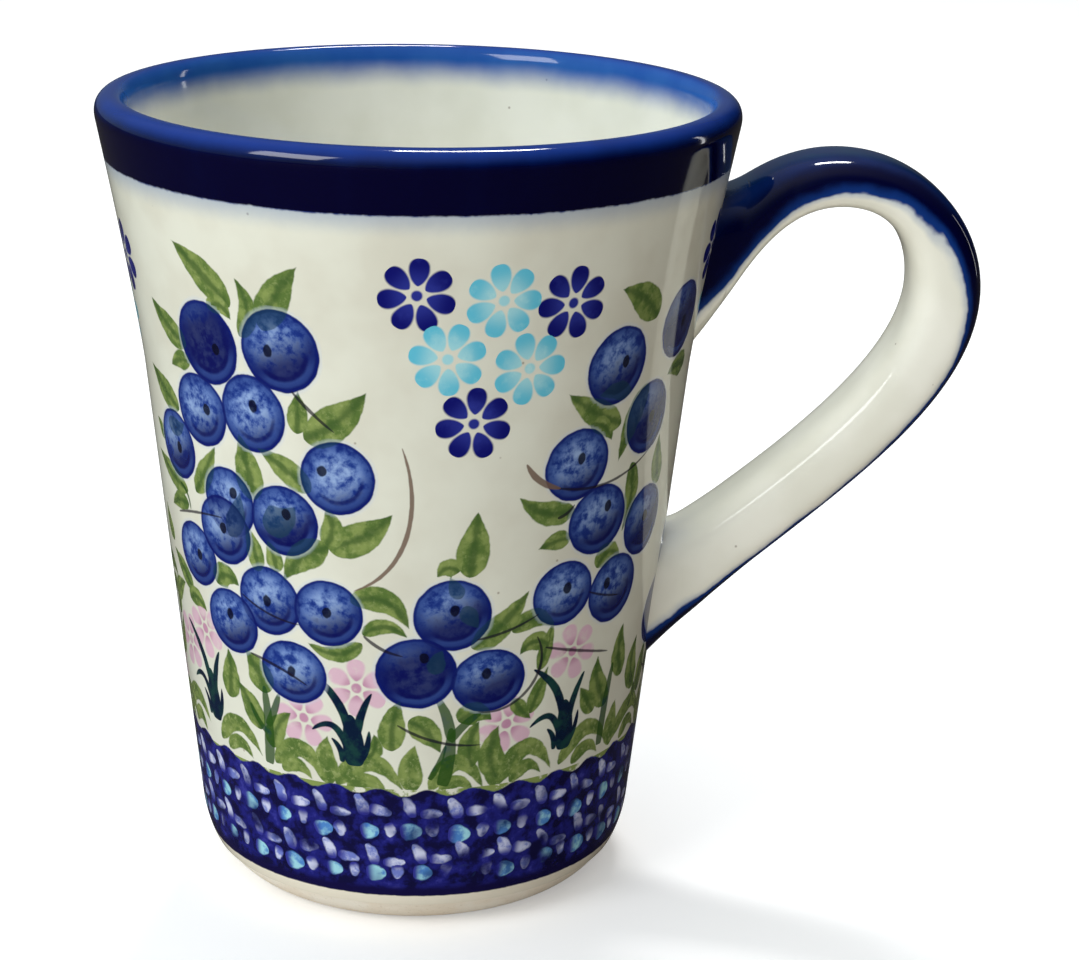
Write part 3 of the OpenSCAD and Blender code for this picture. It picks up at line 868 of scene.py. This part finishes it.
# %% Material helper
def material(name, piece, *more_pieces):
    made = bpy.data.materials.new(name)
    made.use_nodes = True
    for target in (piece, *more_pieces):
        target.data.materials.append(made)
    return Graph(made.node_tree), made.node_tree.nodes["Principled BSDF"].inputs


def glossy(g, shader, color, roughness=0.07, waves=0.5, bump_mm=0.25):
    surface = g.use(glaze_surface, Roughness=roughness, Waves=waves)
    bump = g.add("Bump", {"Strength": 0.35, "Distance": bump_mm * MM, "Height": surface["Height"]})
    g.put(shader["Base Color"], color)
    g.put(shader["Roughness"], surface["Roughness"])
    g.put(shader["Normal"], bump.outputs["Normal"])
    g.put(shader["IOR"], 1.5)


CREAM, CREAM_DULL = paint(223, 225, 211), paint(214, 214, 199)
# A lighter copy of the same cream, as painted light: the inside of the cup and the handle take it so they
# come out brighter than the outer wall.
LIT_CREAM, LIT_CREAM_DULL = paint(246, 246, 234), paint(238, 238, 224)
INK, RUST = paint(28, 24, 40), paint(105, 78, 52)
COBALT_THIN, COBALT_THICK = paint(14, 58, 150), paint(2, 1, 38)
INSIDE_THIN, INSIDE_THICK = paint(60, 120, 194), paint(22, 78, 170)
BLEED_BLUE = paint(120, 146, 184)


def cream(g, specks=0.10, light=CREAM, dull=CREAM_DULL):
    ground = g.mix(g.step(g.noise(11.0, detail=3.0), 0.35, 0.7), light, dull)
    mask = g.use(iron_specks, Size=2.6, Amount=specks)["Mask"]
    return g.mix(g.times(mask, 0.5), ground, RUST)


def faded_cobalt(g, z, specks):
    """Inside the lip the blue thins downwards into the cream, along a ragged line."""
    height = g.plus(z, g.waver(7.0, 1.3, detail=3.0))
    fade = g.step(height, INNER_EDGE - 1.8, INNER_EDGE + 2.8)
    blue = g.use(cobalt_wash, Thin=INSIDE_THIN, Thick=INSIDE_THICK, Share=0.6, Streak=0.5)["Color"]
    # The cream here is the lighter copy, painted light for the inside of the lip and the cup.
    return g.mix(fade, cream(g, specks, LIT_CREAM, LIT_CREAM_DULL), blue)


# %% Painted wall
g, shader = material("painted wall", painted_wall)
wobble = g.waver(1.6, 0.55, detail=3.0)
grain = g.noise(0.75, detail=4.0, rough=0.62)
cloud = g.noise(2.4, detail=4.0, rough=0.6)
color = cream(g)

PINK, PINK_DEEP = paint(216, 182, 198), paint(190, 142, 168)
for name in layers["pink"]:
    flower = g.use(stamped_flower, Mark=g.mark(name), Petals=6.0, Inner=0.2, Outer=0.84, Half_width=0.24,
                   Wobble=g.times(wobble, 0.12), Edge=0.05)
    petal = g.mix(g.step(flower["Along"], 0.45, 0.0), PINK, PINK_DEEP)
    color = g.mix(g.times(flower["Mask"], g.step(cloud, 0.15, 0.5)), color, petal)

LEAF, LEAF_LIGHT = paint(132, 150, 84), paint(166, 178, 118)
LEAF_DARK, LEAF_VEIN = paint(88, 114, 56), paint(62, 90, 44)


def painted_leaves(color, names, vein, light):
    """The colour with every leaf on it, and a mask of all of them."""
    covered = None
    for name in names:
        leaf = g.use(brush_mark, Mark=g.mark(name), Root_power=0.62, Tip_power=1.1, Wobble=wobble,
                     Edge=0.13)
        tint = g.mix(g.step(cloud, 0.38, 0.62), LEAF, LEAF_DARK)
        tint = g.mix(g.times(g.step(grain, 0.5, 0.75), light), tint, LEAF_LIGHT)
        aside = g.plus(g.math("ABSOLUTE", leaf["Across"]), wobble)
        middle_line = g.step(aside, 0.42, 0.05)
        tint = g.mix(g.times(middle_line, vein), tint, LEAF_VEIN)
        tint = g.mix(g.times(g.step(aside, 0.55, 0.95), 0.35), tint, LEAF_DARK)
        color = g.mix(leaf["Mask"], color, tint)
        covered = leaf["Mask"] if covered is None else g.math("MAXIMUM", covered, leaf["Mask"])
    return color, covered


color = painted_leaves(color, layers["grass"], 0.2, 0.8)[0]
color, leaves = painted_leaves(color, layers["leaf"], 0.75, 0.45)


def thin_strokes(color, names, tint, root_power, tip_power, strength=0.9):
    for name in names:
        line = g.use(brush_mark, Mark=g.mark(name), Root_power=root_power, Tip_power=tip_power,
                     Wobble=g.times(wobble, 0.3), Edge=0.09)
        color = g.mix(g.times(line["Mask"], strength), color, tint)
    return color


STEM, SPRIG = paint(44, 80, 28), paint(26, 62, 60)
color = thin_strokes(color, layers["stem"], g.mix(g.step(cloud, 0.52, 0.75), STEM, SPRIG), 0.12, 0.35)
color = thin_strokes(color, layers["sprig"], g.mix(g.step(cloud, 0.36, 0.58), SPRIG, paint(10, 28, 54)),
                     0.25, 0.5, 1.0)

HALO, OVER_LEAF = paint(196, 208, 226), paint(24, 58, 74)
mottle = g.plus(g.times(cloud, 0.4), g.times(grain, 0.22))
mottle = g.plus(mottle, g.times(g.noise(1.35, detail=3.0), 0.38))
under = None
for name in layers["berry"]:
    berry = g.use(berry_wash, Mark=g.mark(name), Mottle=mottle, Wobble=g.times(wobble, 0.1))
    bare = 1.0 if under is None else g.minus(1.0, under)
    color = g.mix(g.times(g.times(berry["Halo"], 0.4), bare), color, HALO)
    wash = g.mix(g.times(leaves, 0.62), berry["Color"], OVER_LEAF)
    if under is not None:
        wash = g.mix(g.times(under, 0.4), wash, BERRY_DEEP)
    under = berry["Mask"] if under is None else g.math("MAXIMUM", under, berry["Mask"])
    color = g.mix(berry["Mask"], color, wash)

for name in layers["eye"]:
    x, y, used = g.split(g.mark(name))
    away = g.radius(x, y)
    away = g.plus(away, wobble)
    seen = g.times(g.step(away, 0.78, 0.55), g.math("GREATER_THAN", used, 0.0))
    color = g.mix(g.times(seen, 0.92), color, paint(8, 9, 32))

NAVY, NAVY_SOFT = paint(14, 18, 106), paint(46, 56, 150)
SKY, SKY_DEEP = paint(176, 224, 228), paint(96, 190, 216)
for kind, light, strong in (("navy", NAVY_SOFT, NAVY), ("turquoise", SKY, SKY_DEEP)):
    for name in layers[kind]:
        flower = g.use(stamped_flower, Mark=g.mark(name), Petals=7.0, Inner=0.25, Outer=0.98,
                       Half_width=0.262, Wobble=g.times(wobble, 0.05), Edge=0.035)
        pale = g.times(g.step(flower["Along"], 0.85, 0.0), 0.75)
        pale = g.plus(pale, g.times(g.step(cloud, 0.5, 0.7), 0.25))
        petal = g.mix(pale, strong, light)
        color = g.mix(flower["Mask"], color, petal)
color = thin_strokes(color, layers["line"], INK, 0.3, 0.45, 0.85)
color = thin_strokes(color, layers["brown"], paint(112, 90, 76), 0.5, 0.5, 0.9)

edges = g.use(painted_edges)
color = g.mix(g.times(edges["Bleed"], 0.55), color, BLEED_BLUE)
cobalt = g.use(cobalt_wash, Thin=COBALT_THIN, Thick=COBALT_THICK, Share=0.55)["Color"]
color = g.mix(edges["Rim"], color, cobalt)
BAND_BLUE, BAND_VIOLET, BAND_DARK = paint(32, 34, 118), paint(54, 56, 146), paint(18, 17, 60)


def band_ground(g, cloud):
    ground = g.mix(g.step(cloud, 0.4, 0.6), BAND_BLUE, BAND_DARK)
    return g.mix(g.step(cloud, 0.42, 0.28), ground, BAND_VIOLET)


color = g.mix(edges["Band"], color, band_ground(g, cloud))
glossy(g, shader, color)

# %% Cobalt rim
# The cobalt is thick on the outside and thin on the crown, and inside it fades into the cream.
g, shader = material("cobalt rim", cobalt_rim)
x, y, z = g.split(g.place())
radius = g.radius(x, y)
inner_side = g.step(radius, crown[0], crown[0] - 1.6)
crown_thin = g.times(g.step(z, CROWN_Z - 2.4, CROWN_Z + 0.2), 0.64)
thick = g.minus(0.98, crown_thin)
outside = g.use(cobalt_wash, Thin=COBALT_THIN, Thick=COBALT_THICK, Share=thick)["Color"]
edges = g.use(painted_edges)
bleed = g.mix(g.times(edges["Bleed"], 0.55), cream(g), BLEED_BLUE)
outside = g.mix(edges["Rim"], bleed, outside)
glossy(g, shader, g.mix(inner_side, outside, faded_cobalt(g, z, 0.1)))

# %% Glaze inside the cup
g, shader = material("inside glaze", inside_glaze)
glossy(g, shader, faded_cobalt(g, g.split(g.place())["Z"], 0.14), roughness=0.09)

# %% Stamped band
# The lowest part of the band is wiped clean before glazing, so the clay shows through clear glaze.
WIPED_Z = 5.8
g, shader = material("stamped band", stamped_band)
wobble = g.waver(1.1, 0.8, detail=3.0)
cloud = g.noise(2.2, detail=4.0, rough=0.6)
patches = g.noise(5.5, detail=2.0)
color = band_ground(g, cloud)
for kind, strong, weak in (("sky", paint(158, 214, 228), paint(78, 132, 200)),
                           ("white", paint(206, 212, 238), paint(112, 126, 200))):
    for name in layers[kind]:
        drop = g.use(brush_mark, Mark=g.mark(name), Root_power=0.28, Tip_power=0.5, Wobble=wobble,
                     Edge=0.16)
        tint = g.mix(g.step(cloud, 0.42, 0.6), strong, weak)
        tint = g.mix(g.step(drop["Along"], 0.5, 0.05), tint, BAND_VIOLET)
        strength = g.step(patches, 0.68, 0.42)
        color = g.mix(g.times(drop["Mask"], strength), color, tint)
z = g.split(g.place())["Z"]
edges = g.use(painted_edges)
above = g.mix(g.step(cloud, 0.53, 0.62), LEAF, cream(g))
color = g.mix(edges["Band"], above, color)
foot_dark = g.step(g.plus(z, wobble), 7.8, 6.6)
color = g.mix(foot_dark, color, paint(20, 16, 66))
wiped = g.plus(z, g.times(wobble, 0.3))
color = g.mix(g.step(wiped, WIPED_Z + 0.12, WIPED_Z - 0.12), color, paint(244, 238, 220))
glossy(g, shader, color)

# %% Bare clay of the foot
# Where the glaze stops the body shows: a matt, sandy, slightly warm clay with turning lines.
g, shader = material("stoneware", clay_cup)
grain = g.noise(0.6, detail=5.0, rough=0.65)
color = g.mix(g.step(g.noise(7.0, detail=3.0), 0.35, 0.65), paint(253, 249, 236), paint(247, 238, 220))
color = g.mix(g.times(g.step(grain, 0.56, 0.7), 0.3), color, paint(186, 168, 140))
g.put(shader["Base Color"], color)
g.put(shader["Roughness"], g.plus(0.72, g.times(grain, 0.2)))
lines = g.noise(0.5, g.place((0.02, 0.02, 1.0)), detail=2.0)
height = g.plus(grain, g.times(lines, 0.6))
bump = g.add("Bump", {"Strength": 0.5, "Distance": 0.12 * MM, "Height": height})
g.put(shader["Normal"], bump.outputs["Normal"])

# %% Glaze under the foot
g, shader = material("recess glaze", recess_glaze)
glossy(g, shader, cream(g, 0.16), roughness=0.12)

# %% [markdown]
# The handle is cream with cobalt brushed over its back. The blue reaches well round the sides at
# the top, narrows to the back face lower down and widens again towards the lower end. Each vertex
# of the strap stores how far it lies inside that edge, and the shader adds the brush's ragged line.

# %% Handle
STRAP_MM_PER_DEGREE = 0.13
COBALT_REACH = [(0, 112), (10, 104), (34, 93), (55, 58), (72, 52), (92, 54), (106, 74)]


def mark_strap(piece, low, high):
    at_length, reach = np.array(COBALT_REACH, float).T
    degrees = np.degrees(np.minimum(turn, math.tau - turn))
    values = []
    for section in range(low, high):
        edge_at = np.interp(walked[section], at_length, reach)
        inside_edge = (edge_at - degrees) * STRAP_MM_PER_DEGREE
        values.append(np.stack([inside_edge, degrees / 180, np.zeros(AROUND)], 1))
    attribute = piece.data.attributes.new("strap", "FLOAT_VECTOR", "POINT")
    attribute.data.foreach_set("vector", np.concatenate(values).astype(np.float32).ravel())


mark_strap(strap_handle, first, last + 1)
mark_strap(upper_collar, 0, first + 1)
mark_strap(lower_collar, last, len(middle))


def handle_look(name, piece):
    g, shader = material(name, piece)
    inside_edge, side = g.split(g.mark("strap"))[:2]
    ragged = g.waver(4.5, 2.2, detail=4.0)
    depth = g.plus(inside_edge, ragged)
    covered = g.step(depth, -0.3, 0.35)
    share = g.plus(g.step(depth, 0.0, 2.6), g.times(g.step(depth, 3.5, 9.0), -0.45))
    blue = g.use(cobalt_wash, Thin=paint(14, 50, 120), Thick=paint(2, 3, 44), Share=share)["Color"]
    # Painted reflection: a teal sheen along the back of the strap stands in for the sky mirrored in its
    # glaze.
    crest_reflection = g.times(g.step(side, 0.2, 0.0), g.step(g.noise(8.0, detail=2.0), 0.35, 0.6))
    blue = g.mix(g.times(crest_reflection, 0.6), blue, paint(3, 52, 86))
    # Painted light: the bare handle takes the lighter copy of the cream, so it reads brighter than its own
    # lighting makes it.
    bare = cream(g, 0.1, LIT_CREAM, LIT_CREAM_DULL)
    bleed = g.mix(g.times(g.step(depth, -1.6, 0.2), 0.5), bare, BLEED_BLUE)
    glossy(g, shader, g.mix(covered, bleed, blue))


handle_look("handle glaze", strap_handle)
handle_look("upper collar glaze", upper_collar)
handle_look("lower collar glaze", lower_collar)

# %% [markdown]
# ## Floor, room and light
# A matt pale floor, a bright ceiling that dims towards the floor and towards the handle side, and
# four soft boxes: a key high at the left, one behind for the far lip, a low fill in front that shows
# in no reflection, and a narrow one that draws the soft upright streak beside the handle. The glaze
# mirrors a dimmer floor and room than the ones the camera sees, as it would indoors.

# %% Floor
floor = bpy.data.objects.new("floor", bpy.data.meshes.new("floor"))
bm = bmesh.new()
bmesh.ops.create_grid(bm, x_segments=1, y_segments=1, size=3)
bm.to_mesh(floor.data)
bm.free()
bpy.context.scene.collection.objects.link(floor)
g, shader = material("pale floor", floor)
ray = g.add("LightPath").outputs
seen_directly = ray["Is Camera Ray"]
unseen = g.mix(ray["Is Glossy Ray"], paint(196, 184, 172), paint(40, 34, 30))
dust = g.mix(g.noise(60.0, detail=3.0), paint(250, 250, 249), paint(246, 246, 245))
g.put(shader["Base Color"], g.mix(seen_directly, unseen, dust))
g.put(shader["Emission Color"], g.mix(seen_directly, paint(0, 0, 0), paint(255, 255, 255)))
g.put(shader["Emission Strength"], 0.3)
g.put(shader["Roughness"], 0.85)

# %% Room
world = bpy.data.worlds.new("room")
bpy.context.scene.world = world
world.use_nodes = True
g = Graph(world.node_tree)
background = world.node_tree.nodes["Background"].inputs
x, y, z = g.split(g.add("TexCoord").outputs["Generated"])
side_light = g.mix(g.step(x, 0.45, -0.75), paint(22, 19, 17), paint(160, 182, 188))
ceiling = g.mix(g.step(x, 0.9, -0.3), paint(100, 100, 100), paint(214, 217, 220))
room_color = g.mix(g.step(z, 0.15, 0.9), side_light, ceiling)
ray = g.add("LightPath").outputs
behind = g.times(g.step(y, 0.7, 0.92), g.step(x, 0.4, 0.1))
mirrored = g.mix(behind, g.mix(0.66, room_color, paint(8, 7, 7)), paint(84, 92, 98))
room_color = g.mix(ray["Is Glossy Ray"], room_color, mirrored)
g.put(background["Color"], g.mix(ray["Is Camera Ray"], room_color, paint(252, 252, 252)))
g.put(background["Strength"], 1.25)


# %% Lights
def softbox(name, place, aim_at, size, power):
    lamp = bpy.data.lights.new(name, "AREA")
    lamp.shape = "RECTANGLE"
    lamp.size, lamp.size_y = size
    lamp.energy = power
    made = bpy.data.objects.new(name, lamp)
    made.location = place
    made.rotation_euler = (Vector(place) - Vector(aim_at)).to_track_quat("Z", "Y").to_euler()
    bpy.context.scene.collection.objects.link(made)
    return made


CUP_MIDDLE = (0, 0, 0.06)
softbox("key", (-0.72, -0.64, 0.72), CUP_MIDDLE, (0.5, 0.5), 5.0)
softbox("back", (0.1, 0.5, 1.0), CUP_MIDDLE, (0.3, 0.12), 5)
softbox("fill", (-0.35, -0.75, 0.08), CUP_MIDDLE, (0.6, 0.1), 2.4).visible_glossy = False
softbox("streak", (0.82, 0.36, 0.0), CUP_MIDDLE, (0.035, 0.8), 0.4)
